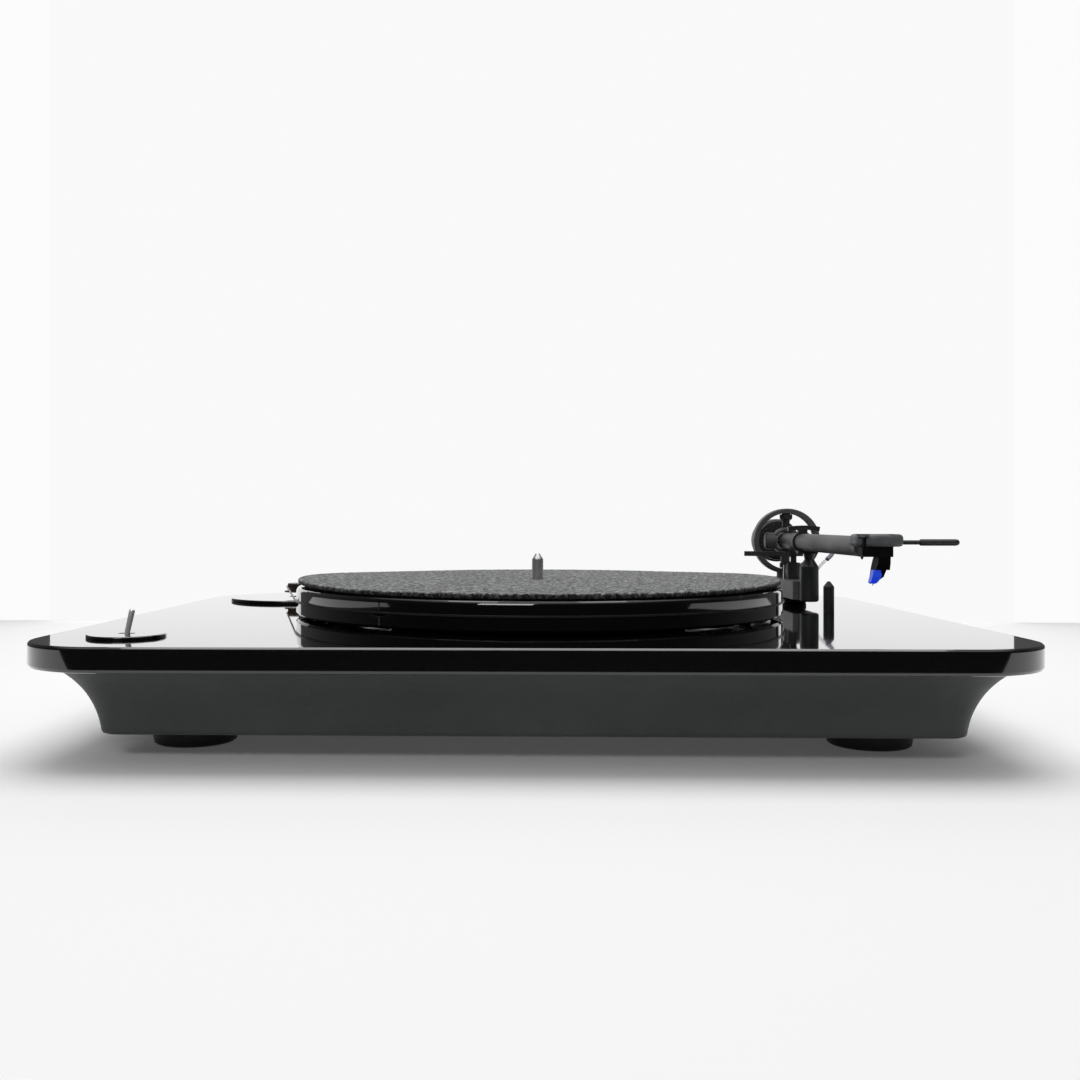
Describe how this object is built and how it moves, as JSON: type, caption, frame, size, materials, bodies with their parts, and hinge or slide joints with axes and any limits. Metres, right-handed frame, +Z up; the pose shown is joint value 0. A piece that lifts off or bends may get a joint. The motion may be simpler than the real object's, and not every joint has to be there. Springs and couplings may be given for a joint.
{
  "type": "turntable record player",
  "caption": "Belt-driven turntable: gloss black plinth on a waisted base, round platter with felt mat, straight gimbal tonearm with cartridge, motor pulley and toggle switch.",
  "frame": {"origin": "centre of the plinth's footprint, on the surface that the feet stand on", "axes": "+Z up, -Y towards the user at the front, +X to the right, where the tonearm is"},
  "size_m": [0.484, 0.38, 0.1256],
  "materials": {
    "black_lacquer": "gloss",
    "charcoal_board": "matte",
    "cover_plate": "matte",
    "foot_rubber": "matte",
    "screw_steel": "satin",
    "spindle_steel": "satin",
    "bearing_steel": "satin",
    "bush_bronze": "satin",
    "mat_felt": "matte",
    "motor_metal": "satin",
    "pulley_plastic": "satin",
    "belt_rubber": "satin",
    "switch_plastic": "matte",
    "toggle_chrome": "polished",
    "circuit_board": "satin",
    "panel_plastic": "matte",
    "gilt_socket": "gloss",
    "lead_jacket": "satin",
    "satin_black_metal": "satin",
    "beam_metal": "satin",
    "clip_plastic": "satin",
    "tube_satin": "satin",
    "headshell_black": "matte",
    "pivot_brass": "satin",
    "cartridge_black": "satin",
    "stylus_blue": "gloss",
    "stylus_steel": "polished",
    "stub_alloy": "satin",
    "weight_black": "satin",
    "dial_black": "satin",
    "wire_silver": "satin",
    "sleeve_grey": "matte"
  },
  "bodies": {
    "plinth": {"top_board": "black_lacquer", "base_board": "charcoal_board", "bottom_cover": "cover_plate", "foot_front_left": "foot_rubber", "foot_front_right": "foot_rubber", "foot_rear_left": "foot_rubber", "foot_rear_right": "foot_rubber", "base_screws": "screw_steel", "bearing_housing": "bearing_steel", "bearing_bush": "bush_bronze", "bearing_ball": "screw_steel", "bearing_screws": "screw_steel", "motor_body": "motor_metal", "motor_screws": "screw_steel", "motor_cover": "black_lacquer", "belt": "belt_rubber", "switch_plate": "black_lacquer", "switch_body": "switch_plastic", "control_board": "circuit_board", "connector_panel": "panel_plastic", "dc_jack": "switch_plastic", "rca_socket_left": "gilt_socket", "rca_socket_right": "gilt_socket", "ground_terminal": "gilt_socket", "inner_leads": "lead_jacket", "arm_base_boss": "satin_black_metal", "arm_base_nut": "screw_steel", "arm_base_beam": "beam_metal", "storage_pin": "satin_black_metal", "rest_post": "satin_black_metal", "rest_clip": "clip_plastic", "lift_cylinder": "satin_black_metal", "lift_guide_pin": "screw_steel", "gimbal_ring": "beam_metal", "yaw_pivot_screws": "satin_black_metal", "arm_lead_wires": "wire_silver", "arm_lead_sleeve": "sleeve_grey"},
    "platter": {"platter": "black_lacquer", "spindle": "spindle_steel", "mat": "mat_felt"},
    "pulley": {"pulley": "pulley_plastic", "motor_shaft": "screw_steel"},
    "toggle": {"toggle_lever": "toggle_chrome"},
    "arm_yaw": {"bearing_yoke": "beam_metal", "pitch_pivot_pins": "screw_steel"},
    "arm": {"arm_tube": "tube_satin", "pivot_block": "pivot_brass", "arm_collar": "clip_plastic", "headshell": "headshell_black", "finger_lift": "satin_black_metal", "cartridge_body": "cartridge_black", "cartridge_screws": "satin_black_metal", "stylus_holder": "stylus_blue", "stylus": "stylus_steel", "rear_stub": "stub_alloy"},
    "counterweight": {"counterweight": "weight_black"},
    "dial": {"dial_ring": "dial_black"},
    "lift_platform": {"lift_platform": "satin_black_metal"},
    "lift_lever": {"lift_lever": "satin_black_metal"}
  },
  "joints": [
    {"name": "platter_spin", "type": "hinge", "parent": "plinth", "child": "platter", "pos_m": [0.005, 0.012, 0.0765], "axis": [0, 0, 1], "continuous": true},
    {"name": "pulley_spin", "type": "hinge", "parent": "plinth", "child": "pulley", "pos_m": [-0.17, 0.124, 0.066], "axis": [0, 0, 1], "continuous": true},
    {"name": "power_toggle", "type": "hinge", "parent": "plinth", "child": "toggle", "pos_m": [-0.1982, -0.144, 0.0593], "axis": [0, 1, 0], "range_deg": [-25, 0]},
    {"name": "arm_swing", "type": "hinge", "parent": "plinth", "child": "arm_yaw", "pos_m": [0.187, 0.1215, 0.102], "axis": [0, 0, -1], "range_deg": [0, 42]},
    {"name": "arm_pitch", "type": "hinge", "parent": "arm_yaw", "child": "arm", "pos_m": [0.187, 0.1215, 0.102], "axis": [-0.999, 0.0436, 0], "range_deg": [0, 12]},
    {"name": "weight_slide", "type": "slide", "parent": "arm", "child": "counterweight", "axis": [0.0436, 0.999, 0], "range_m": [-0.004, 0.008]},
    {"name": "dial_turn", "type": "hinge", "parent": "counterweight", "child": "dial", "pos_m": [0.18844, 0.15447, 0.102], "axis": [0.0436, 0.999, 0], "continuous": true},
    {"name": "lift_rise", "type": "slide", "parent": "plinth", "child": "lift_platform", "axis": [0, 0, 1], "range_m": [0, 0.0055]},
    {"name": "lift_lever_turn", "type": "hinge", "parent": "plinth", "child": "lift_lever", "pos_m": [0.1943, 0.116, 0.0695], "axis": [1, 0, 0], "range_deg": [0, 37]}
  ],
  "couplings": [
    {"joint": "pulley_spin", "follows": "platter_spin", "ratio": 15.441},
    {"joint": "lift_rise", "follows": "arm_pitch", "m_per_rad": 0.0255},
    {"joint": "lift_lever_turn", "follows": "arm_pitch", "ratio": 3}
  ]
}
